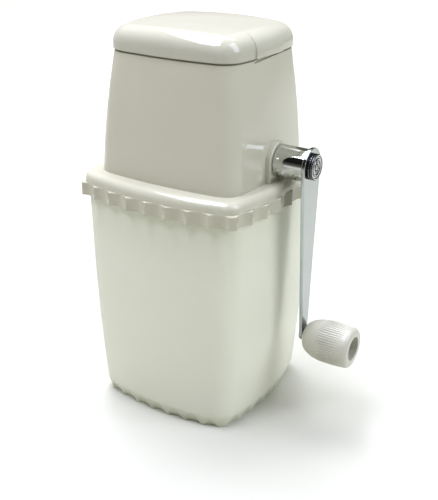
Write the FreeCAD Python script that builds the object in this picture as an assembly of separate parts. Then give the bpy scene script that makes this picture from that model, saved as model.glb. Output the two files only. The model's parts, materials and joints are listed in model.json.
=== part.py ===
"""Hand-cranked ice crusher: a hinged lid over a tapered feed tower, a toothed rotor on a
cross shaft turned by a side crank, and a loose container that catches the crushed ice.

Millimetres. +Z is up, +X points along the shaft to the crank, -Y is the front.
The origin is the centre of the container's foot, on the surface it stands on.
"""
import FreeCAD, Part
import math
import os

V = FreeCAD.Vector
X_AXIS = V(1, 0, 0)
Y_AXIS = V(0, 1, 0)
Z_AXIS = V(0, 0, 1)

# ---- container --------------------------------------------------------------------------
container_height = 146.0      # foot to rim; the housing rests on the rim
container_wall = 2.4
foot_half = 51.1              # half width across the foot
heel_half = 53.6              # half width where the foot band ends
heel_height = 8.5
belly_half = 56.8             # half width at mid height
mouth_half = 57.8             # half width at the rim
foot_bow = 165.0              # radius that each side of the foot is bowed to
rim_bow = 220.0
foot_corner = 12.5            # plan radius of the foot's corners
rim_corner = 15.2
foot_flutes = 7               # scallops along each side of the foot
foot_flute_pitch = 12.45
foot_flute_depth = 2.0
container_floor = 2.4

# ---- housing: skirt and ledge -----------------------------------------------------------
skirt_gap = 0.4               # container rim to skirt
skirt_wall = 1.4              # skirt thickness at the bottom of a flute
skirt_overlap = 6.6           # how far the skirt hangs over the rim
skirt_flutes = 6              # full flutes along each side
skirt_flute_pitch = 13.5
skirt_flute_depth = 2.4
skirt_end_flute = 12.0        # width of the narrower flute at each end of a side
flange_bow = 193.0
flange_corner = 8.5           # plan radius of the corner lobes, which are left uncut
skirt_top_rise = 1.2          # rim to the top of the flutes
ledge_rise = 7.6              # rim to the top of the ledge
ledge_corner = 9.5
ledge_proud = 0.1             # the ledge stands out past the bottoms of the flutes
ledge_round = 4.5             # radius of the ledge's outer edge
ledge_wall = 2.8
rim_seat = 2.7                # width of the shelf that sits on the rim

# ---- housing: tower ---------------------------------------------------------------------
tower_height = 72.05          # ledge to mouth
tower_wall = 2.8
bearing_wall = 5.05           # crank bearing's seat to the tower's face at the ledge
tower_base_y = 48.3           # half depth at the ledge
tower_mouth_x = 43.5          # half width and half depth at the mouth
tower_mouth_y = 41.4
tower_bulge = 0.95            # how far the wall stands out at mid height
tower_base_bow = 290.0
tower_mouth_bow = 220.0
tower_base_corner = 11.4
tower_mouth_corner = 12.8

# ---- lid --------------------------------------------------------------------------------
lid_height = 15.65            # mouth to crown
lid_proud = 0.9               # the lid stands out past the tower's mouth
lid_wall = 2.5
lid_round = 10.3              # radius of the lid's upper edge
lid_dome_radius = 420.0
grip_length = 30.0            # raised finger grip on each side of the lid
grip_front = 17.0             # the grip starts this far in front of the middle
grip_flare = 1.0
scoop_depth = 1.3             # finger recess in the tower below each grip
scoop_height = 2.7
scoop_tail = 0.8              # the recess narrows to this towards the hinge

# ---- lid hinge --------------------------------------------------------------------------
hinge_pin_radius = 1.2
hinge_pin_gap = 0.05
knuckle_wall = 1.4
knuckle_clearance = 0.35      # lid knuckle to the tower and to its neighbours
lid_knuckle_length = 16.0
tower_knuckle_length = 8.0
knuckle_web_height = 7.0

# ---- crank shaft and rotor --------------------------------------------------------------
crank_rise = 11.8             # ledge to the shaft's axis
journal_radius = 5.0
end_journal_radius = 3.4
end_journal_length = 6.0
square_side = 7.0             # square drive section of the shaft
slide_gap = 0.03              # square sections and threads
running_gap = 0.05            # turning fits
blade_count = 7
blade_pitch = 11.0
blade_thickness = 2.0
blade_hub_radius = 9.0
blade_tip_radius = 21.0
blade_root = 14.0             # width of a tooth where it leaves the hub
blade_tip = 3.4
spacer_radius = 8.0
spacer_overrun = 0.5          # the end spacers reach this far into the frame's walls
shoulder_gap = 0.5            # end spacer to the shaft's shoulder, frame to the end journal

# ---- blade frame and combs --------------------------------------------------------------
rotor_end_gap = 3.0           # last blade to the frame's end wall
blade_clearance = 1.0         # blade tips to the frame's ledges
comb_ledge = 5.5
frame_wall = 2.5
frame_drop = 1.0              # rim to the frame's flange
frame_flange = 2.5
frame_height = 39.0           # flange's underside to the frame's top
flange_inset = 1.5            # flange to the tower's wall
frame_ear = 5.0               # the flange runs this far past each boss along the front and back
shaft_window = 9.0            # radius of the frame's shaft holes
comb_thickness = 2.5
comb_drop = 8.7               # shaft axis to the combs' underside
finger_width = 6.0
finger_gap = 7.0              # shaft axis to the finger tips
comb_screw_spacing = 60.0
comb_end_gap = 0.2

# ---- screws -----------------------------------------------------------------------------
screw_radius = 1.2
screw_gap = 0.05
screw_clearance = 0.4         # screw to the clearance hole in the part it holds
screw_head_radius = 2.6
screw_head_height = 1.8
screw_tip_gap = 0.5           # screw's tip to the end of its bore
comb_bore = 6.0
boss_radius = 4.5
boss_height = 12.5
boss_end = 1.5                # plastic left past the bore
boss_sink = 1.0               # how far a boss is sunk into the tower's corner

# ---- feed hopper ------------------------------------------------------------------------
hopper_wall = 2.0
hopper_gap = 0.4              # hopper to the tower
hopper_headroom = 4.5         # hopper rim to the tower's mouth
hopper_corner = 4.0
hopper_bow = 400.0

# ---- bearings ---------------------------------------------------------------------------
bush_wall = 2.0
bush_flange = 2.0
bush_flange_width = 2.5
end_bush_flange = 1.5
end_bush_wall = 1.95
end_shoulder_gap = 1.0        # end bearing to the shaft's shoulder
socket_wall = 2.6             # plastic around a bush on the tower's inside
washer_thickness = 0.8
washer_width = 3.4
clip_thickness = 0.9
clip_depth = 0.8
clip_width = 3.7
clip_slot = 6.0
thrust_gap = 0.05
clip_clearance = 1.65         # frame to shaft clip

# ---- crank ------------------------------------------------------------------------------
crank_rest_angle = 1.9        # the arm hangs this many degrees towards the back
pad_radius = 11.2             # arched pad on the tower around the crank hub
pad_proud = 2.4
pad_round = 0.8
hub_gap = 0.4                 # pad to hub
hub_radius = 9.8
hub_length = 18.9
hub_round = 0.5
hub_socket = 9.5              # square socket at the hub's outer end
arm_length = 111.6            # shaft axis to knob axis
arm_thickness = 2.2
arm_eye_radius = 11.0
arm_end_radius = 3.6
arm_round = 0.5
cap_radius = 7.8
cap_height = 2.9
cap_beads = 2                 # beads round the cap's rim
cap_bead_depth = 0.5
cap_notches = 36
cap_notch_radius = 0.35
cap_rings = 3                 # rings on the cap's face
cap_ring_pitch = 1.9
cap_ring_depth = 0.45
cap_thread_radius = 2.4
cap_thread_length = 10.0

# ---- knob -------------------------------------------------------------------------------
knob_gap = 0.1                # washer to knob
knob_length = 32.0
knob_radius = 13.3
knob_nose_radius = 5.0        # flat of the knob's inner end
knob_dome = 16.0              # length of the domed inner end
knob_rim_radius = 12.9
knob_round = 2.6
knob_recess_radius = 7.5
knob_recess_depth = 14.0
knob_ribs = 54
knob_rib_groove = 0.45
knob_rib_start = 10.2
knob_rib_length = 17.6
rivet_radius = 2.2
rivet_head_radius = 5.2
rivet_head_height = 1.4
rivet_foot_radius = 3.1
rivet_foot_height = 0.4
knob_washer_radius = 3.6
knob_washer_thickness = 0.9

# ---- levels and stations worked out from the sizes above --------------------------------
rim_z = container_height
skirt_z = rim_z - skirt_overlap
flute_top_z = rim_z + skirt_top_rise
ledge_z = rim_z + ledge_rise
mouth_z = ledge_z + tower_height
crown_z = mouth_z + lid_height
crank_z = ledge_z + crank_rise
skirt_half = mouth_half + skirt_gap
flute_half = skirt_half + skirt_wall
flange_half = flute_half + skirt_flute_depth
ledge_half = flute_half + ledge_proud
bore_radius = screw_radius + screw_gap

frame_inner_x = (blade_count - 1) / 2 * blade_pitch + blade_thickness / 2 + rotor_end_gap
frame_outer_x = frame_inner_x + frame_wall
ledge_inner_y = blade_tip_radius + blade_clearance
frame_inner_y = ledge_inner_y + comb_ledge
frame_outer_y = frame_inner_y + frame_wall
frame_z = rim_z + frame_drop
frame_top_z = frame_z + frame_height
boss_z = frame_z + frame_flange
boss_bore_z = boss_z + boss_height - boss_end
comb_z = crank_z - comb_drop

clip_x = frame_outer_x + clip_clearance
washer_x = clip_x + clip_thickness + thrust_gap
bush_x = washer_x + washer_thickness + thrust_gap
bush_seat_x = bush_x + bush_flange
bush_radius = journal_radius + bush_wall
tower_base_x = bush_seat_x + bearing_wall
pad_x = tower_base_x + pad_proud
hub_x = pad_x + hub_gap
arm_x = hub_x + hub_length
cap_x = arm_x + arm_thickness
stack_end_x = frame_inner_x + spacer_overrun
journal_x = stack_end_x + shoulder_gap
end_journal_x = -frame_outer_x - shoulder_gap
end_bush_x = end_journal_x - end_shoulder_gap
end_seat_x = end_bush_x - end_bush_flange
end_bush_radius = end_journal_radius + end_bush_wall
shaft_end_x = end_journal_x - end_journal_length
knob_x = cap_x + knob_washer_thickness + knob_gap
knob_floor_x = knob_x + knob_length - knob_recess_depth

hinge_y = tower_mouth_y + lid_proud + knuckle_clearance + hinge_pin_radius + knuckle_wall
knuckle_radius = hinge_pin_radius + knuckle_wall
hinge_half = lid_knuckle_length / 2 + knuckle_clearance + tower_knuckle_length
nearly = 0.01                 # edges this close to a plane lie in it


# ---- plan outlines ----------------------------------------------------------------------
class Plan:
    """A rounded rectangle whose four sides are bowed outwards."""

    def __init__(self, half_x, half_y, bow, corner):
        self.half_x = half_x
        self.half_y = half_y
        self.bow = bow
        self.corner = corner

    def grown(self, by):
        """The parallel outline, by millimetres further out."""
        return Plan(self.half_x + by, self.half_y + by, self.bow + by, self.corner + by)

    def corner_centre(self):
        p = self.bow - self.half_x
        q = self.bow - self.half_y
        reach = self.bow - self.corner
        s = math.sqrt(4 * reach ** 2 / (p ** 2 + q ** 2) - 1)
        return (q * s - p) / 2, (p * s - q) / 2

    def wire(self, z):
        p = self.bow - self.half_x
        q = self.bow - self.half_y
        cx, cy = self.corner_centre()
        swing = [math.atan2(cy, cx + p), math.atan2(cx, cy + q)]
        sides = [(-p, 0), (0, -q), (p, 0), (0, q)]
        corners = [(cx, cy), (-cx, cy), (-cx, -cy), (cx, -cy)]
        edges = []
        for i in range(4):
            facing = i * math.pi / 2
            end = facing + swing[i % 2]
            following = facing + math.pi / 2 - swing[(i + 1) % 2]
            edges.append(arc(sides[i], self.bow, facing - swing[i % 2], end, z))
            edges.append(arc(corners[i], self.corner, end, following, z))
        return Part.Wire(edges)

    def prism(self, z0, z1):
        return Part.Face(self.wire(z0)).extrude(V(0, 0, z1 - z0))


def arc(centre, radius, start, end, z):
    points = []
    for angle in (start, (start + end) / 2, end):
        points.append(V(centre[0] + radius * math.cos(angle), centre[1] + radius * math.sin(angle), z))
    return Part.Arc(*points).toShape()


def loft(stations, ruled=False):
    """Solid through (plan, z) stations."""
    return Part.makeLoft([plan.wire(z) for plan, z in stations], True, ruled)


def square_plan(half, bow, corner):
    return Plan(half, half, bow, corner)


def mean(a, b):
    return (a + b) / 2


FOOT = square_plan(foot_half, foot_bow, foot_corner)
HEEL = square_plan(heel_half, foot_bow, foot_corner)
BELLY = square_plan(belly_half, mean(foot_bow, rim_bow), mean(foot_corner, rim_corner))
RIM = square_plan(mouth_half, rim_bow, rim_corner)
FLANGE = square_plan(flange_half, flange_bow, flange_corner)
LEDGE = square_plan(ledge_half, flange_bow - skirt_flute_depth + ledge_proud, ledge_corner)
TOWER_BASE = Plan(tower_base_x, tower_base_y, tower_base_bow, tower_base_corner)
TOWER_MID = Plan(mean(tower_base_x, tower_mouth_x) + tower_bulge,
                 mean(tower_base_y, tower_mouth_y) + tower_bulge,
                 mean(tower_base_bow, tower_mouth_bow), mean(tower_base_corner, tower_mouth_corner))
TOWER_MOUTH = Plan(tower_mouth_x, tower_mouth_y, tower_mouth_bow, tower_mouth_corner)
LID = TOWER_MOUTH.grown(lid_proud)


# ---- small helpers ----------------------------------------------------------------------
def cylinder_x(radius, x0, x1, y=0.0, z=crank_z):
    return Part.makeCylinder(radius, x1 - x0, V(x0, y, z), X_AXIS)


def cylinder_z(radius, z0, z1, x=0.0, y=0.0):
    return Part.makeCylinder(radius, z1 - z0, V(x, y, z0), Z_AXIS)


def box(x0, x1, y0, y1, z0, z1):
    return Part.makeBox(x1 - x0, y1 - y0, z1 - z0, V(x0, y0, z0))


def square_x(side, x0, x1):
    return box(x0, x1, -side / 2, side / 2, crank_z - side / 2, crank_z + side / 2)


def union(shapes):
    return shapes[0].multiFuse(shapes[1:]).removeSplitter()


def turned(shape, degrees, centre, axis):
    copy = shape.copy()
    copy.rotate(centre, axis, degrees)
    return copy


def mirrored_y(shape):
    return shape.mirror(V(0, 0, 0), Y_AXIS)


def at_rest(shape):
    """Swings a crank piece, modelled hanging straight down, to where it rests."""
    return turned(shape, crank_rest_angle, V(0, 0, crank_z), X_AXIS)


def spread(count, pitch):
    """Positions of a row of copies, centred on zero."""
    return [(i - (count - 1) / 2) * pitch for i in range(count)]


def edges_at_x(shape, x):
    return [edge for edge in shape.Edges
            if abs(edge.BoundBox.XMin - x) < nearly and abs(edge.BoundBox.XMax - x) < nearly]


def flute(plan, along, width, depth, z0, z1, lean=0.0):
    """Cutter for one concave flute on the +X side; neighbours part at pointed cusps.

    along is measured on the bowed wall from its middle; lean is how far the flute
    runs out of the wall between z0 and z1.
    """
    rise = math.hypot(lean, z1 - z0)
    axis = V(lean / rise, 0, (z1 - z0) / rise)
    radius = ((width / 2) ** 2 + depth ** 2) / (2 * depth) * axis.z
    start = V(plan.half_x - depth + radius * axis.z, 0, z0 - radius * axis.x)
    cutter = Part.makeCylinder(radius, 3 * rise, start - axis * rise, axis)
    return turned(cutter, math.degrees(along / plan.bow), V(plan.half_x - plan.bow, 0, 0), Z_AXIS)


def all_sides(shapes):
    return [turned(shape, 90 * side, V(0, 0, 0), Z_AXIS) for side in range(4) for shape in shapes]


def screw(x, y, seat_z, length, up):
    """Pan-head screw whose head sits on seat_z; up is +1 when the head is on top."""
    base = seat_z if up > 0 else seat_z - screw_head_height
    head = cylinder_z(screw_head_radius, base, base + screw_head_height, x, y)
    rim = head.Edges[0] if up > 0 else head.Edges[2]
    head = head.makeFillet(screw_head_height / 2, [rim])
    tip_z = seat_z - up * length
    return union([head, cylinder_z(screw_radius, min(seat_z, tip_z), max(seat_z, tip_z), x, y)])


# ---- container --------------------------------------------------------------------------
def ice_container():
    outer = union([loft([(FOOT, 0), (HEEL, heel_height)], ruled=True),
                   loft([(HEEL, heel_height), (BELLY, container_height / 2), (RIM, rim_z)])])
    inner = [plan.grown(-container_wall) for plan in (FOOT, HEEL, BELLY, RIM)]
    hollow = union([loft([(inner[0], container_floor), (inner[1], heel_height)], ruled=True),
                    loft([(inner[1], heel_height), (inner[2], container_height / 2), (inner[3], rim_z)])])
    lean = heel_half - foot_half + foot_flute_depth
    flutes = [flute(FOOT, along, foot_flute_pitch, foot_flute_depth, 0, heel_height, lean)
              for along in spread(foot_flutes, foot_flute_pitch)]
    return outer.cut([hollow] + all_sides(flutes))


# ---- housing ----------------------------------------------------------------------------
def skirt_and_ledge():
    """Fluted ring around the container's rim, with full corners, under a rounded ledge."""
    flutes = [(along, skirt_flute_pitch) for along in spread(skirt_flutes, skirt_flute_pitch)]
    last = (skirt_flutes * skirt_flute_pitch + skirt_end_flute) / 2
    flutes += [(-last, skirt_end_flute), (last, skirt_end_flute)]
    cutters = [flute(FLANGE, along, width, skirt_flute_depth, skirt_z, flute_top_z)
               for along, width in flutes]
    skirt = FLANGE.prism(skirt_z, flute_top_z).cut(all_sides(cutters))
    ledge = LEDGE.prism(flute_top_z, ledge_z)
    top_edges = [edge for edge in ledge.Edges if edge.BoundBox.ZMin > ledge_z - nearly]
    return union([skirt, ledge.makeFillet(ledge_round, top_edges)])


def crank_pad():
    """Arched pad outside the tower and the bush's socket inside it."""
    arch = cylinder_x(pad_radius, bush_seat_x, pad_x)
    foot = box(bush_seat_x, pad_x, -pad_radius, pad_radius, ledge_z - ledge_wall / 2, crank_z)
    pad = union([arch, foot])
    face_edges = [edge for edge in edges_at_x(pad, pad_x) if edge.BoundBox.ZMax > ledge_z]
    return pad.makeFillet(pad_round, face_edges)


def tower_bosses():
    cx, cy = TOWER_BASE.corner_centre()
    out = (tower_base_corner - tower_wall - boss_radius + boss_sink) / math.sqrt(2)
    return [(sx * (cx + out), sy * (cy + out)) for sx in (-1, 1) for sy in (-1, 1)]


def tower_knuckles():
    """Two hinge barrels behind the mouth, each on a web that runs down to the wall."""
    low_z = mouth_z - knuckle_web_height
    top_z = mouth_z - knuckle_clearance
    inside = tower_mouth_y - tower_wall / 2
    slope = math.atan2(knuckle_web_height, hinge_y - tower_mouth_y)
    slope -= math.asin(knuckle_radius / math.hypot(knuckle_web_height, hinge_y - tower_mouth_y))
    touch_y = hinge_y + knuckle_radius * math.sin(slope)
    touch_z = mouth_z - knuckle_radius * math.cos(slope)
    knuckles = []
    for x0 in (-hinge_half, hinge_half - tower_knuckle_length):
        barrel = cylinder_x(knuckle_radius, x0, x0 + tower_knuckle_length, hinge_y, mouth_z)
        corners = [(inside, low_z), (inside, top_z), (hinge_y, top_z), (touch_y, touch_z),
                   (tower_mouth_y, low_z), (inside, low_z)]
        web = Part.Face(Part.makePolygon([V(x0, y, z) for y, z in corners]))
        knuckles += [barrel, web.extrude(V(tower_knuckle_length, 0, 0))]
    return knuckles


def finger_scoops():
    """Cutters for the finger recess under each of the lid's grips."""
    cutters = []
    y0 = -grip_front
    y1 = y0 + grip_length
    for side in (-1, 1):
        x = side * (tower_mouth_x - scoop_depth)
        face = Part.Face(Part.makePolygon([
            V(x, y0, mouth_z - scoop_height), V(x, y1, mouth_z - scoop_tail),
            V(x, y1, mouth_z), V(x, y0, mouth_z), V(x, y0, mouth_z - scoop_height)]))
        cutters.append(face.extrude(V(side * 4 * scoop_depth, 0, 0)))
    return cutters


def housing_shell():
    mid_z = ledge_z + tower_height / 2
    foot_z = ledge_z - ledge_wall
    tower = loft([(TOWER_BASE, foot_z), (TOWER_MID, mid_z), (TOWER_MOUTH, mouth_z)])
    inner = [plan.grown(-tower_wall) for plan in (TOWER_BASE, TOWER_MID, TOWER_MOUTH)]
    hollow = loft([(inner[0], foot_z), (inner[1], mid_z), (inner[2], mouth_z)])
    rim_space = RIM.grown(skirt_gap).prism(skirt_z, rim_z)
    under_ledge = RIM.grown(skirt_gap - rim_seat).prism(rim_z, foot_z)
    shell = union([skirt_and_ledge(), tower]).cut([hollow, rim_space, under_ledge])
    end_socket = cylinder_x(end_bush_radius + socket_wall, tower_wall / 2 - tower_base_x, end_seat_x)
    bosses = [cylinder_z(boss_radius, boss_z, boss_z + boss_height, x, y) for x, y in tower_bosses()]
    cutters = finger_scoops() + [
        cylinder_x(bush_radius + running_gap, bush_seat_x, pad_x),
        cylinder_x(end_bush_radius + running_gap, shaft_end_x - 2 * running_gap, end_seat_x),
        cylinder_x(hinge_pin_radius + hinge_pin_gap, -hinge_half, hinge_half, hinge_y, mouth_z)]
    cutters += [cylinder_z(bore_radius, boss_z, boss_bore_z, x, y) for x, y in tower_bosses()]
    return union([shell, crank_pad(), end_socket] + bosses + tower_knuckles()).cut(cutters)


def lid_hinge_pin():
    return cylinder_x(hinge_pin_radius, -hinge_half, hinge_half, hinge_y, mouth_z)


def feed_hopper():
    top_z = mouth_z - hopper_headroom
    top = TOWER_MOUTH.grown(-tower_wall - hopper_gap)
    bottom = Plan(frame_outer_x, frame_outer_y, hopper_bow, hopper_corner)
    outer = loft([(bottom, frame_top_z), (top, top_z)], ruled=True)
    bottom, top = bottom.grown(-hopper_wall), top.grown(-hopper_wall)
    return outer.cut(loft([(bottom, frame_top_z), (top, top_z)], ruled=True))


def blade_frame():
    """Open box around the rotor with ledges for the combs and an ear at each corner."""
    flange = TOWER_BASE.grown(-tower_wall - flange_inset).prism(frame_z, boss_z)
    ear_x = max(x for x, y in tower_bosses()) - frame_ear
    walls = box(-frame_outer_x, frame_outer_x, -frame_outer_y, frame_outer_y, frame_z, frame_top_z)
    cutters = [box(-frame_inner_x, frame_inner_x, -ledge_inner_y, ledge_inner_y, frame_z, frame_top_z),
               box(-frame_inner_x, frame_inner_x, -frame_inner_y, frame_inner_y, comb_z, frame_top_z),
               cylinder_x(shaft_window, -frame_outer_x, frame_outer_x),
               box(-ear_x, ear_x, frame_outer_y, tower_base_y, frame_z, boss_z),
               box(-ear_x, ear_x, -tower_base_y, -frame_outer_y, frame_z, boss_z)]
    for x, y in tower_bosses():
        cutters.append(cylinder_z(screw_radius + screw_clearance, frame_z, boss_z, x, y))
    for x, y in comb_screw_places():
        cutters.append(cylinder_z(bore_radius, comb_z - comb_bore, comb_z, x, y))
    return union([flange, walls]).cut(cutters)


def frame_screws():
    length = boss_bore_z - screw_tip_gap - frame_z
    return Part.Compound([screw(x, y, frame_z, length, -1) for x, y in tower_bosses()])


# ---- combs ------------------------------------------------------------------------------
def comb_screw_places():
    y = ledge_inner_y + comb_ledge / 2
    return [(sx * comb_screw_spacing / 2, sy * y) for sx in (-1, 1) for sy in (-1, 1)]


def comb(step):
    """Plate on the front ledge with a finger in every step-th gap between blades."""
    half = frame_inner_x - comb_end_gap
    top_z = comb_z + comb_thickness
    pieces = [box(-half, half, -frame_inner_y + comb_end_gap, -ledge_inner_y, comb_z, top_z)]
    for middle in spread(blade_count - 1, blade_pitch)[::step]:
        pieces.append(box(middle - finger_width / 2, middle + finger_width / 2,
                          -ledge_inner_y, -finger_gap, comb_z, top_z))
    hole = screw_radius + screw_clearance
    return union(pieces).cut([cylinder_z(hole, comb_z, top_z, x, y) for x, y in comb_screw_places()])


def comb_screws():
    top_z = comb_z + comb_thickness
    length = comb_thickness + comb_bore - screw_tip_gap
    return Part.Compound([screw(x, y, top_z, length, 1) for x, y in comb_screw_places()])


# ---- bearings ---------------------------------------------------------------------------
def crank_bearing():
    sleeve = cylinder_x(bush_radius, bush_x, pad_x)
    flange = cylinder_x(bush_radius + bush_flange_width, bush_x, bush_seat_x)
    return union([sleeve, flange]).cut(cylinder_x(journal_radius + running_gap, bush_x, pad_x))


def end_bearing():
    sleeve = cylinder_x(end_bush_radius, shaft_end_x, end_bush_x)
    flange = cylinder_x(end_bush_radius + bush_flange_width / 2, end_seat_x, end_bush_x)
    bore = cylinder_x(end_journal_radius + running_gap, shaft_end_x, end_bush_x)
    return union([sleeve, flange]).cut(bore)


# ---- lid --------------------------------------------------------------------------------
def lid_form(plan, top_z, edge_round):
    """Block under a shallow dome, rounded along its upper edge as far as its side allows."""
    dome = Part.makeSphere(lid_dome_radius, V(0, 0, top_z - lid_dome_radius))
    block = plan.prism(mouth_z, top_z + lid_wall).common(dome)
    upper = [edge for edge in block.Edges if edge.BoundBox.ZMin > (mouth_z + top_z) / 2 and
             edge.BoundBox.ZMax - edge.BoundBox.ZMin < lid_height / 3]
    side = min(edge.BoundBox.ZMin for edge in upper) - mouth_z
    return block.makeFillet(min(edge_round, side), upper)


def lid():
    half = lid_knuckle_length / 2
    grips = lid_form(LID.grown(grip_flare), crown_z, lid_round + grip_flare).common(
        box(-2 * LID.half_x, 2 * LID.half_x, -grip_front, grip_length - grip_front, mouth_z, crown_z))
    hollow = lid_form(LID.grown(-lid_wall), crown_z - lid_wall, lid_round - lid_wall)
    shell = union([lid_form(LID, crown_z, lid_round), grips]).cut(hollow)
    barrel = cylinder_x(knuckle_radius, -half, half, hinge_y, mouth_z)
    web = box(-half, half, LID.half_y - lid_wall / 2, hinge_y, mouth_z, mouth_z + knuckle_radius)
    bore = cylinder_x(hinge_pin_radius + hinge_pin_gap, -half, half, hinge_y, mouth_z)
    return union([shell, barrel, web]).cut(bore)


# ---- shaft and rotor --------------------------------------------------------------------
def drive_shaft():
    socket_x = arm_x - hub_socket
    pieces = [square_x(square_side, end_journal_x, journal_x),
              cylinder_x(end_journal_radius, shaft_end_x, end_journal_x),
              cylinder_x(journal_radius, journal_x, socket_x),
              square_x(square_side, socket_x, cap_x - slide_gap)]
    groove = cylinder_x(journal_radius + clip_depth, clip_x, clip_x + clip_thickness).cut(
        cylinder_x(journal_radius - clip_depth, clip_x, clip_x + clip_thickness))
    thread = cylinder_x(cap_thread_radius + slide_gap, cap_x - cap_thread_length, cap_x)
    return at_rest(union(pieces).cut([groove, thread]))


def rotor_blade(index):
    """Two-toothed blade; each is a quarter turn on from its neighbour."""
    x = spread(blade_count, blade_pitch)[index] - blade_thickness / 2
    reach = math.sqrt(blade_tip_radius ** 2 - blade_tip ** 2)
    tooth = Part.Face(Part.makePolygon([
        V(x, -blade_root / 2, crank_z), V(x, blade_root / 2, crank_z), V(x, blade_tip, crank_z + reach),
        V(x, 0, crank_z + reach), V(x, -blade_root / 2, crank_z)])).extrude(V(blade_thickness, 0, 0))
    centre = V(0, 0, crank_z)
    hub = cylinder_x(blade_hub_radius, x, x + blade_thickness)
    pieces = [hub, tooth, turned(tooth, 180, centre, X_AXIS)]
    blade = union(pieces).cut(square_x(square_side + 2 * slide_gap, x, x + blade_thickness))
    return at_rest(turned(blade, 90 * (index % 2), centre, X_AXIS))


def rotor_spacers():
    """Square-bored rings between the blades and at both ends of the stack."""
    half_blade = blade_thickness / 2 + slide_gap
    middles = spread(blade_count, blade_pitch)
    starts = [-stack_end_x] + [x + half_blade for x in middles]
    ends = [x - half_blade for x in middles] + [stack_end_x]
    rings = [cylinder_x(spacer_radius, x0, x1).cut(square_x(square_side + 2 * slide_gap, x0, x1))
             for x0, x1 in zip(starts, ends)]
    return at_rest(Part.Compound(rings))


def thrust_washer():
    end_x = washer_x + washer_thickness
    ring = cylinder_x(journal_radius + washer_width, washer_x, end_x)
    return at_rest(ring.cut(cylinder_x(journal_radius + running_gap, washer_x, end_x)))


def shaft_clip():
    inner = journal_radius - clip_depth + running_gap
    end_x = clip_x + clip_thickness
    ring = cylinder_x(inner + clip_width, clip_x, end_x).cut(cylinder_x(inner, clip_x, end_x))
    slot = box(clip_x, end_x, -clip_slot / 2, clip_slot / 2, crank_z, crank_z + 2 * inner + clip_width)
    return at_rest(ring.cut(slot))


# ---- crank ------------------------------------------------------------------------------
def crank_hub():
    body = cylinder_x(hub_radius, hub_x, arm_x)
    body = body.makeFillet(hub_round, edges_at_x(body, hub_x) + edges_at_x(body, arm_x))
    socket_x = arm_x - hub_socket
    return at_rest(body.cut([cylinder_x(journal_radius + slide_gap, hub_x, socket_x),
                             square_x(square_side + 2 * slide_gap, socket_x, arm_x)]))


def crank_arm():
    """Flat tapered bar between the shaft's eye and the knob's eye."""
    lean = math.asin((arm_eye_radius - arm_end_radius) / arm_length)
    edges = []
    z_end = crank_z - arm_length

    def rim(radius, z, angle):
        return V(arm_x, radius * math.cos(angle), z + radius * math.sin(angle))

    edges.append(Part.Arc(rim(arm_eye_radius, crank_z, -lean), rim(arm_eye_radius, crank_z, math.pi / 2),
                          rim(arm_eye_radius, crank_z, math.pi + lean)).toShape())
    edges.append(Part.makeLine(rim(arm_eye_radius, crank_z, math.pi + lean),
                               rim(arm_end_radius, z_end, math.pi + lean)))
    edges.append(Part.Arc(rim(arm_end_radius, z_end, math.pi + lean),
                          rim(arm_end_radius, z_end, -math.pi / 2),
                          rim(arm_end_radius, z_end, -lean)).toShape())
    edges.append(Part.makeLine(rim(arm_end_radius, z_end, -lean), rim(arm_eye_radius, crank_z, -lean)))
    bar = Part.Face(Part.Wire(edges)).extrude(V(arm_thickness, 0, 0))
    bar = bar.makeFillet(arm_round, edges_at_x(bar, arm_x) + edges_at_x(bar, cap_x))
    return at_rest(bar.cut([square_x(square_side + 2 * slide_gap, arm_x, cap_x),
                            cylinder_x(rivet_radius + slide_gap, arm_x, cap_x, 0, z_end)]))


def cap_screw():
    """Ornamental screw that holds the arm: rings on its face, notched beads round its rim."""
    end_x = cap_x + cap_height
    valley = cap_radius - cap_bead_depth
    profile = [(cap_x, 0), (cap_x, valley)]
    for i in range(cap_beads):
        start_x = cap_x + cap_height * i / cap_beads
        next_x = cap_x + cap_height * (i + 1) / cap_beads
        profile += [(mean(start_x, next_x), cap_radius), (next_x, valley)]
    for i in range(cap_rings, 0, -1):
        ring = cap_ring_pitch * i
        profile += [(end_x - cap_ring_depth, ring), (end_x, mean(ring, ring - cap_ring_pitch))]
    corners = [V(x, 0, crank_z + radius) for x, radius in profile + [(end_x, 0), (cap_x, 0)]]
    head = Part.Face(Part.makePolygon(corners)).revolve(V(0, 0, crank_z), X_AXIS, 360)
    notch = cylinder_x(cap_notch_radius, cap_x, end_x, cap_radius)
    notches = [turned(notch, 360 * i / cap_notches, V(0, 0, crank_z), X_AXIS) for i in range(cap_notches)]
    shank = cylinder_x(cap_thread_radius, cap_x - cap_thread_length + slide_gap, cap_x)
    return at_rest(union([head.cut(notches), shank]))


# ---- knob -------------------------------------------------------------------------------
def revolved(profile, z):
    """Turns a list of edges in the plane y=0, closed along the axis at height z."""
    return Part.Face(Part.Wire(profile)).revolve(V(0, 0, z), X_AXIS, 360)


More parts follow.
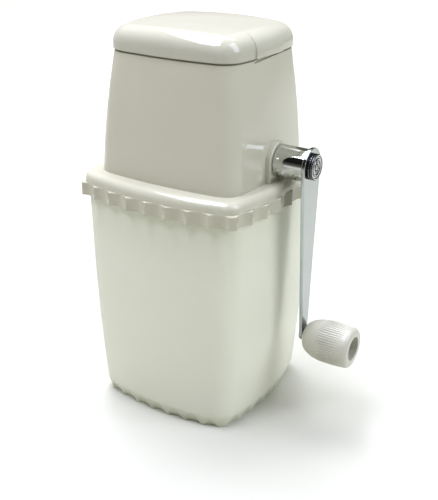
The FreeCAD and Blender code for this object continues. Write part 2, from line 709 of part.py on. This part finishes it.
def crank_knob():
    z = crank_z - arm_length
    end_x = knob_x + knob_length

    def at(x, radius):
        return V(x, 0, z + radius)

    dome_x = knob_x + knob_dome
    rim_x = end_x - knob_round
    sweep = math.sqrt(0.5)
    dome = Part.Ellipse(at(knob_x, knob_nose_radius), at(dome_x, knob_radius), at(dome_x, knob_nose_radius))
    rim_mid = at(rim_x + knob_round * sweep, knob_rim_radius - knob_round * (1 - sweep))
    barrel_mid = at((dome_x + rim_x) / 2, knob_radius - (knob_radius - knob_rim_radius) / 4)
    points = [at(rim_x + knob_round, knob_rim_radius - knob_round), at(end_x, knob_recess_radius),
              at(knob_floor_x, knob_recess_radius), at(knob_floor_x, 0), at(knob_x, 0),
              at(knob_x, knob_nose_radius)]
    edges = [Part.ArcOfEllipse(dome, 0, math.pi / 2).toShape(),
             Part.Arc(at(dome_x, knob_radius), barrel_mid, at(rim_x, knob_rim_radius)).toShape(),
             Part.Arc(at(rim_x, knob_rim_radius), rim_mid, points[0]).toShape()]
    edges += [Part.makeLine(a, b) for a, b in zip(points, points[1:])]
    knob = revolved(edges, z)
    rib_x = knob_x + knob_rib_start
    groove = cylinder_x(knob_rib_groove, rib_x, rib_x + knob_rib_length, knob_radius, z)
    centre = V(0, 0, z)
    cutters = [turned(groove, 360 * i / knob_ribs, centre, X_AXIS) for i in range(knob_ribs)]
    cutters.append(cylinder_x(rivet_radius + running_gap, knob_x, knob_floor_x, 0, z))
    return at_rest(knob.cut(cutters))


def knob_rivet():
    z = crank_z - arm_length
    head_x = knob_floor_x + knob_gap
    pieces = [cylinder_x(rivet_foot_radius, arm_x - rivet_foot_height, arm_x, 0, z),
              cylinder_x(rivet_radius, arm_x, head_x, 0, z),
              cylinder_x(rivet_head_radius, head_x, head_x + rivet_head_height, 0, z)]
    return at_rest(union(pieces))


def knob_washer():
    z = crank_z - arm_length
    end_x = cap_x + knob_washer_thickness
    ring = cylinder_x(knob_washer_radius, cap_x, end_x, 0, z)
    return at_rest(ring.cut(cylinder_x(rivet_radius + slide_gap, cap_x, end_x, 0, z)))


# ---- the whole part ---------------------------------------------------------------------
def pieces():
    made = {
        "ice_container": ice_container(),
        "housing_shell": housing_shell(),
        "lid_hinge_pin": lid_hinge_pin(),
        "feed_hopper": feed_hopper(),
        "blade_frame": blade_frame(),
        "frame_screws": frame_screws(),
        "fine_comb": comb(1),
        "coarse_comb": mirrored_y(comb(2)),
        "comb_screws": comb_screws(),
        "crank_bearing": crank_bearing(),
        "end_bearing": end_bearing(),
        "lid": lid(),
        "drive_shaft": drive_shaft(),
        "rotor_spacers": rotor_spacers(),
        "thrust_washer": thrust_washer(),
        "shaft_clip": shaft_clip(),
        "crank_hub": crank_hub(),
        "crank_arm": crank_arm(),
        "cap_screw": cap_screw(),
        "knob_rivet": knob_rivet(),
        "knob_washer": knob_washer(),
        "crank_knob": crank_knob(),
    }
    for index in range(blade_count):
        made["rotor_blade_%d" % (index + 1)] = rotor_blade(index)
    return made


os.makedirs("parts", exist_ok=True)
for name, shape in pieces().items():
    shape.exportStep(os.path.join("parts", name + ".step"))
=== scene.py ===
"""Finishes, lights and viewpoint of the ice crusher. Lengths are in metres, in the frame of the solids."""
import bmesh
import bpy
import json
import math
from mathutils import Matrix, Vector

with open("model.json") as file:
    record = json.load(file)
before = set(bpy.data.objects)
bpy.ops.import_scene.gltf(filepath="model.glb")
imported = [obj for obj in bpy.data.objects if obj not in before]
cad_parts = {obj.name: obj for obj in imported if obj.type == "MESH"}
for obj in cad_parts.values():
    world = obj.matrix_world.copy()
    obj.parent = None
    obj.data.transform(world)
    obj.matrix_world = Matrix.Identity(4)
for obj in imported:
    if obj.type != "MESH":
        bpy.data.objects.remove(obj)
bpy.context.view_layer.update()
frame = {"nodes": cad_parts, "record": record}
nodes = frame["nodes"]

# ---- viewpoint: in front, a little towards the crank, looking down ------------------------
SENSOR_WIDTH = 36.0                # millimetres, like the focal length
FOCAL_LENGTH = 59.3064
NEAREST = 0.01
VIEW_AZIMUTH = math.radians(31.17)
VIEW_ELEVATION = math.radians(24.16)
VIEW_ROLL = math.radians(0.95)
VIEW_DISTANCE = 0.52379
AIM = Vector((0.0, 0.0, 0.120))
AIM_RIGHT = 0.01006                # from the aim, across and up the view
AIM_UP = -0.02286


# ---- how a finish is put together ---------------------------------------------------------
class Finish:
    """The surface of one material, laid out in coordinates that are fixed to the piece."""

    def __init__(self, name, **values):
        self.material = bpy.data.materials.new(name)
        self.material.use_nodes = True
        self.tree = self.material.node_tree
        self.bsdf = self.tree.nodes["Principled BSDF"]
        self.coords = self.tree.nodes.new("ShaderNodeTexCoord").outputs["Object"]
        for socket, value in values.items():
            self.bsdf.inputs[socket.replace("_", " ")].default_value = value

    def add(self, kind, **inputs):
        """A new node of this kind, with its inputs fed by name."""
        node = self.tree.nodes.new("ShaderNode" + kind)
        for name, value in inputs.items():
            self.feed(node.inputs[name.replace("_", " ")], value)
        return node

    def feed(self, socket, value):
        """Link the socket to an output, or set it to a plain value."""
        if isinstance(value, bpy.types.NodeSocket):
            self.tree.links.new(value, socket)
        else:
            socket.default_value = value

    def stretched(self, scale):
        """The piece's coordinates multiplied by scale along each axis."""
        node = self.add("Mapping", Vector=self.coords)
        node.inputs["Scale"].default_value = scale
        return node.outputs["Vector"]

    def noise(self, scale, detail=3.0, roughness=0.5, vector=None):
        """Soft random blotches, scale of them to the metre."""
        node = self.add("TexNoise", Vector=vector or self.coords, Scale=scale, Detail=detail,
                        Roughness=roughness)
        return node.outputs["Fac"]

    def ramp(self, value, low, high, start=0.3, end=0.7):
        """value between start and end, spread to low..high (numbers or colours)."""
        node = self.add("MapRange", Value=value)
        node.inputs["From Min"].default_value = start
        node.inputs["From Max"].default_value = end
        if isinstance(low, (int, float)):
            node.inputs["To Min"].default_value = low
            node.inputs["To Max"].default_value = high
            return node.outputs["Result"]
        return self.mix(node.outputs["Result"], low, high)

    def mix(self, factor, low, high):
        """The colour low where factor is 0 and high where it is 1."""
        mix = self.tree.nodes.new("ShaderNodeMix")
        mix.data_type = "RGBA"
        self.feed(mix.inputs["Factor"], factor)
        self.feed(mix.inputs["A"], low)
        self.feed(mix.inputs["B"], high)
        return mix.outputs["Result"]

    def product(self, first, second):
        """first times second."""
        node = self.add("Math")
        node.operation = "MULTIPLY"
        self.feed(node.inputs[0], first)
        self.feed(node.inputs[1], second)
        return node.outputs["Value"]

    def length(self, vector):
        """How far a point is from the origin."""
        node = self.add("VectorMath")
        node.operation = "LENGTH"
        self.feed(node.inputs[0], vector)
        return node.outputs["Value"]

    def band(self, value, low, high, fade):
        """1 where value is between low and high, running out to 0 over fade on both sides."""
        rise = self.ramp(value, 0.0, 1.0, low - fade, low)
        return self.product(rise, self.ramp(value, 1.0, 0.0, high, high + fade))

    def colour(self, value):
        """Set the base colour."""
        self.feed(self.bsdf.inputs["Base Color"], value)

    def roughness(self, value):
        """Set how dull the surface is."""
        self.feed(self.bsdf.inputs["Roughness"], value)

    def bump(self, *layers):
        """Fine relief. Each layer is (height, strength, depth in metres)."""
        normal = None
        for height, strength, depth in layers:
            node = self.add("Bump", Height=height)
            node.inputs["Strength"].default_value = strength
            node.inputs["Distance"].default_value = depth
            if normal:
                self.feed(node.inputs["Normal"], normal)
            normal = node.outputs["Normal"]
        self.feed(self.bsdf.inputs["Normal"], normal)


def rgb(red, green, blue):
    """An opaque colour."""
    return (red, green, blue, 1.0)


def shade(tint, share=1.0):
    """A metal's tint at a share of its brightness."""
    return rgb(*[share * channel for channel in tint])


# ---- where the finish changes on the object -----------------------------------------------
KNUCKLE_RADIUS = 0.0026            # the lid's knuckle reaches this far below the lid's joint
LID_JOINT = nodes["lid"].bound_box[0][2] + KNUCKLE_RADIUS
LINE_LOW, LINE_HIGH = 0.0011, 0.0006    # edges, below the joint, of the fine dark line of painted shade
LINE_FADE = 0.0005
HINGE_SIDE = 0.041                 # no line behind this, where the hinge is
SKIRT_SPAN = (0.1390, 0.1464)      # heights of the skirt, which is painted darker and warmer as shade
SKIRT_FADE = 0.0007
CRANK_HEIGHT = 0.1654
WALL_SHADE = (0.10, 0.150)         # painted shade: the bin darkens between these heights, towards its top under the skirt
FOOT_SHADE = (0.003, 0.0105)       # and lightens between these above its foot
RING_PITCH = 0.0011                # of the turned rings on the cap
RING_EDGES = (-0.4, 0.6)           # of the wave, from the rings' dark hollows to their crests

# painted shade: the fine dark line under the lid's joint
JOINT_PAINTED_SHADE = rgb(0.16, 0.15, 0.10)
# painted shade: the skirt's darker, warmer copy of the housing's ivory
SKIRT_PAINTED_SHADE = rgb(0.51, 0.49, 0.37)
FOOT_MILK = rgb(0.88, 0.90, 0.71)
# painted shade: the bin's darker tone at its top, under the skirt
UPPER_MILK_PAINTED_SHADE = rgb(0.90, 0.915, 0.735)
MILK = (rgb(0.98, 0.99, 0.82), rgb(0.995, 1.0, 0.845))

PLASTIC_INDEX = 1.56
MILKY_INDEX = 1.38
MILKY_PASSED = 0.25                # share of the light that goes through the bin's wall
WIPE_SCALE = 240.0                 # of the wiping marks on plated metal


# ---- finishes -----------------------------------------------------------------------------
def moulded(name, light, dark, gloss, peel, joint=False):
    """Injection moulded plastic: faint tone drift, uneven gloss and a trace of ripple.

    joint adds painted shade: the skirt darker and warmer, and a fine dark line under the lid.
    """
    finish = Finish(name, IOR=PLASTIC_INDEX)
    tone = finish.ramp(finish.noise(22.0, detail=2.0), dark, light)
    if joint:
        place = finish.add("SeparateXYZ", Vector=finish.coords).outputs
        skirt = finish.band(place["Z"], *SKIRT_SPAN, SKIRT_FADE)
        line = finish.band(place["Z"], LID_JOINT - LINE_LOW, LID_JOINT - LINE_HIGH, LINE_FADE)
        clear_of_hinge = finish.ramp(place["Y"], 1.0, 0.0, HINGE_SIDE, HINGE_SIDE + SKIRT_FADE)
        # painted shade: the skirt darker and warmer than the rest of the housing
        tone = finish.mix(skirt, tone, SKIRT_PAINTED_SHADE)
        # painted shade: a fine dark line just under the lid's joint, except by the hinge
        tone = finish.mix(finish.product(line, clear_of_hinge), tone, JOINT_PAINTED_SHADE)
    finish.colour(tone)
    finish.roughness(finish.ramp(finish.noise(60.0, detail=4.0), *gloss))
    ripple = (finish.noise(38.0, detail=1.0), 0.12, 0.0006)
    finish.bump(ripple, (finish.noise(1400.0, detail=2.0), peel, 0.00006))
    return finish.material


def frosted(name):
    """Milky plastic of the bin, with a ground, slightly mottled surface."""
    finish = Finish(name, IOR=MILKY_INDEX, Transmission_Weight=MILKY_PASSED)
    height = finish.add("SeparateXYZ", Vector=finish.coords).outputs["Z"]
    cloud = finish.ramp(finish.noise(16.0, detail=2.0), *MILK)
    # painted shade: the wall darkens towards its top, under the skirt
    wall = finish.ramp(height, cloud, UPPER_MILK_PAINTED_SHADE, *WALL_SHADE)
    finish.colour(finish.ramp(height, FOOT_MILK, wall, *FOOT_SHADE))
    finish.roughness(finish.ramp(finish.noise(160.0, detail=5.0), 0.42, 0.55))
    grain = (finish.noise(2600.0, detail=4.0), 0.35, 0.00008)
    finish.bump(grain, (finish.noise(30.0, detail=1.0), 0.1, 0.0006))
    return finish.material


def chrome(name, tint, gloss):
    """Plated metal with fine wiping marks and slightly clouded patches."""
    finish = Finish(name, Metallic=1.0)
    finish.colour(finish.ramp(finish.noise(90.0), shade(tint, 0.93), shade(tint)))
    finish.roughness(finish.ramp(finish.noise(WIPE_SCALE, detail=5.0), *gloss))
    finish.bump((finish.noise(120.0, detail=2.0), 0.08, 0.0002))
    return finish.material


def turned(name, tint, hollow_shade, gloss):
    """Plated cap with fine turned rings about the crank's axis, painted dark in the hollows as shade."""
    finish = Finish(name, Metallic=1.0)
    across = finish.add("Mapping", Vector=finish.coords)
    across.inputs["Location"].default_value = (0.0, 0.0, -CRANK_HEIGHT)
    across.inputs["Scale"].default_value = (0.0, 1.0, 1.0)
    radius = finish.length(across.outputs["Vector"])
    wave = finish.add("Math")
    wave.operation = "SINE"
    finish.feed(wave.inputs[0], finish.product(radius, 2 * math.pi / RING_PITCH))
    rings = wave.outputs["Value"]
    # painted shade: near-black colour in the hollows of the rings
    finish.colour(finish.ramp(rings, shade(hollow_shade), shade(tint), *RING_EDGES))
    finish.roughness(finish.ramp(finish.noise(WIPE_SCALE, detail=5.0), *gloss))
    finish.bump((rings, 0.4, 0.0001))
    return finish.material


def brushed(name, tint, grain):
    """Steel with a grain along the axis whose scale is smallest."""
    finish = Finish(name, Metallic=1.0)
    lines = finish.noise(1.0, detail=5.0, roughness=0.65, vector=finish.stretched(grain))
    finish.colour(finish.ramp(lines, shade(tint, 0.78), shade(tint)))
    finish.roughness(finish.ramp(lines, 0.22, 0.42))
    finish.bump((lines, 0.25, 0.00004))
    return finish.material


HOUSING_IVORY = moulded("ivory_housing", light=rgb(0.60, 0.583, 0.462), dark=rgb(0.58, 0.563, 0.442),
                        gloss=(0.03, 0.06), peel=0.02, joint=True)
# painted shade: the lid takes a darker copy of the housing's ivory, so that it reads darker
LID_SHADED_IVORY = moulded("ivory_lid_painted_shade", light=rgb(0.55, 0.535, 0.43), dark=rgb(0.535, 0.52, 0.415),
                    gloss=(0.03, 0.06), peel=0.02)
KNOB_IVORY = moulded("ivory_knob", light=rgb(0.585, 0.57, 0.475), dark=rgb(0.565, 0.55, 0.455),
                     gloss=(0.28, 0.38), peel=0.2)
INNER_WHITE = moulded("white_inner", light=rgb(0.80, 0.80, 0.77), dark=rgb(0.76, 0.76, 0.73),
                      gloss=(0.34, 0.46), peel=0.2)
NYLON = moulded("nylon", light=rgb(0.72, 0.70, 0.62), dark=rgb(0.66, 0.64, 0.56),
                gloss=(0.4, 0.5), peel=0.2)
FROSTED = frosted("frosted_clear")
CHROME = chrome("chrome_polished", tint=(0.70, 0.72, 0.70), gloss=(0.03, 0.08))
ARM_CHROME = chrome("chrome_arm", tint=(0.43, 0.46, 0.445), gloss=(0.10, 0.18))
# painted shade: near-black colour in the rings' hollows
CAP_CHROME = turned("chrome_cap", tint=(0.66, 0.68, 0.67), hollow_shade=(0.04, 0.04, 0.04), gloss=(0.20, 0.28))
BLADE_STEEL = brushed("blade_steel", tint=(0.62, 0.63, 0.64), grain=(60.0, 2600.0, 900.0))
PLATED_STEEL = brushed("plated_steel", tint=(0.58, 0.58, 0.56), grain=(300.0, 1500.0, 1500.0))

SLOT_LOOKS = {"ivory_gloss": HOUSING_IVORY, "ivory_knob": KNOB_IVORY, "white_inner": INNER_WHITE,
              "nylon": NYLON, "frosted_clear": FROSTED, "chrome": CHROME, "blade_steel": BLADE_STEEL,
              "plated_steel": PLATED_STEEL}
NODE_LOOKS = {"lid": LID_SHADED_IVORY, "crank_arm": ARM_CHROME, "cap_screw": CAP_CHROME}

for part in frame["record"]["subparts"]:
    look = NODE_LOOKS.get(part["node"], SLOT_LOOKS[part["material_slot"]])
    for holder in nodes[part["node"]].material_slots:
        holder.material = look


# ---- floor, surroundings and lights -------------------------------------------------------
FLOOR_HALF = 6.0
FLOOR_TONES = (rgb(0.63, 0.625, 0.545), rgb(0.645, 0.64, 0.56))
FLOOR_DULL = 0.75
FAR_FLOOR = rgb(0.25, 0.25, 0.24)  # glow of the floor far off, so that it meets the backdrop
FAR_FADE = (0.7, 2.4)              # distances over which the glow comes in

ROOM_FRONT = (-0.35, -0.9, 0.1)    # direction of the darkest part of the room
DIM_SIDE = (0.3, -0.95, 0.0)       # direction of the dimmest part of the horizon
FRONT_ROOM = rgb(0.012, 0.012, 0.011)
BACK_ROOM = rgb(0.13, 0.133, 0.11)
FRONT_HORIZON = rgb(0.07, 0.067, 0.055)
BACK_HORIZON = rgb(0.52, 0.50, 0.46)
ROOM_FADE = (0.3, 0.8)
SIDE_FADE = (-0.1, 0.9)
HORIZON_FADE = (0.08, 0.30)


def floor():
    """Pale paper that the object stands on."""
    mesh = bpy.data.meshes.new("floor")
    sheet = bmesh.new()
    bmesh.ops.create_grid(sheet, x_segments=1, y_segments=1, size=FLOOR_HALF)
    sheet.to_mesh(mesh)
    sheet.free()
    plane = bpy.data.objects.new("floor", mesh)
    bpy.context.scene.collection.objects.link(plane)
    finish = Finish("floor_paper")
    finish.colour(finish.ramp(finish.noise(3.0, detail=2.0), *FLOOR_TONES))
    finish.roughness(FLOOR_DULL)
    glow = finish.ramp(finish.length(finish.coords), 0.0, 1.0, *FAR_FADE)
    finish.feed(finish.bsdf.inputs["Emission Color"], FAR_FLOOR)
    finish.feed(finish.bsdf.inputs["Emission Strength"], glow)
    mesh.materials.append(finish.material)


def softbox(name, place, aim, size, power, colour=(1.0, 1.0, 1.0), spread=180.0):
    """Rectangular light at place, facing aim."""
    light = bpy.data.lights.new(name, "AREA")
    light.shape = "RECTANGLE"
    light.size, light.size_y = size
    light.energy = power
    light.color = colour
    light.spread = math.radians(spread)
    lamp = bpy.data.objects.new(name, light)
    lamp.location = place
    lamp.rotation_euler = (Vector(place) - Vector(aim)).to_track_quat("Z", "Y").to_euler()
    bpy.context.scene.collection.objects.link(lamp)


def surroundings():
    """Pale near the horizon and dim higher up, darkest in front and to the left."""
    world = bpy.data.worlds.new("studio")
    world.use_nodes = True
    tree = world.node_tree
    direction = tree.nodes.new("ShaderNodeTexCoord").outputs["Generated"]

    def towards(axis, start, end):
        """0 to 1 as the direction turns towards axis."""
        dot = tree.nodes.new("ShaderNodeVectorMath")
        dot.operation = "DOT_PRODUCT"
        tree.links.new(direction, dot.inputs[0])
        dot.inputs[1].default_value = Vector(axis).normalized()
        ramp = tree.nodes.new("ShaderNodeMapRange")
        ramp.interpolation_type = "SMOOTHSTEP"
        tree.links.new(dot.outputs["Value"], ramp.inputs["Value"])
        for name, value in (("From Min", start), ("From Max", end), ("To Min", 0.0), ("To Max", 1.0)):
            ramp.inputs[name].default_value = value
        return ramp.outputs["Result"]

    def blend(factor, low, high):
        """The tone low where factor is 0 and high where it is 1."""
        mix = tree.nodes.new("ShaderNodeMix")
        mix.data_type = "RGBA"
        tree.links.new(factor, mix.inputs["Factor"])
        for name, value in (("A", low), ("B", high)):
            if isinstance(value, tuple):
                mix.inputs[name].default_value = value
            else:
                tree.links.new(value, mix.inputs[name])
        return mix.outputs["Result"]

    high_up = blend(towards(ROOM_FRONT, *ROOM_FADE), BACK_ROOM, FRONT_ROOM)
    low_down = blend(towards(DIM_SIDE, *SIDE_FADE), BACK_HORIZON, FRONT_HORIZON)
    sky = blend(towards((0.0, 0.0, 1.0), *HORIZON_FADE), low_down, high_up)
    tree.links.new(sky, tree.nodes["Background"].inputs["Color"])
    bpy.context.scene.world = world


def camera():
    """The eye, placed on a sphere round the aim, shifted in its own plane and rolled a little."""
    back = Vector((math.sin(VIEW_AZIMUTH) * math.cos(VIEW_ELEVATION),
                   -math.cos(VIEW_AZIMUTH) * math.cos(VIEW_ELEVATION), math.sin(VIEW_ELEVATION)))
    right = Vector((math.cos(VIEW_AZIMUTH), math.sin(VIEW_AZIMUTH), 0.0))
    up = back.cross(right)
    turn = Matrix.Rotation(VIEW_ROLL, 3, back)
    right, up = turn @ right, turn @ up
    data = bpy.data.cameras.new("camera")
    data.sensor_width = SENSOR_WIDTH
    data.lens = FOCAL_LENGTH
    data.clip_start = NEAREST
    eye = bpy.data.objects.new("camera", data)
    place = AIM + right * AIM_RIGHT + up * AIM_UP + back * VIEW_DISTANCE
    axes = Matrix((right, up, back)).transposed()
    eye.matrix_world = Matrix.Translation(place) @ axes.to_4x4()
    bpy.context.scene.collection.objects.link(eye)
    bpy.context.scene.camera = eye


floor()
surroundings()
softbox("overhead", place=(-0.32, -0.04, 1.2), aim=(-0.16, 0.0, 0.1), size=(1.47, 0.55), power=29.5,
        colour=(0.835, 0.855, 1.0))
softbox("backdrop_light", place=(-0.75, 1.7, 1.5), aim=(-0.85, 1.6, 0.0), size=(3.0, 1.8), power=27.0,
        colour=(0.91, 0.92, 1.0), spread=75.0)
softbox("side", place=(0.95, 0.12, 0.95), aim=(0.0, 0.0, 0.14), size=(0.6, 1.1), power=10.0,
        colour=(0.80, 0.85, 1.0))
softbox("lamp_left", place=(0.10, -0.62, 0.50), aim=(0.0, 0.0, 0.2), size=(0.025, 0.025), power=0.09)
softbox("lamp_right", place=(0.20, -0.60, 0.50), aim=(0.0, 0.0, 0.2), size=(0.025, 0.025), power=0.09)
camera()
bpy.context.scene.view_settings.view_transform = "Standard"
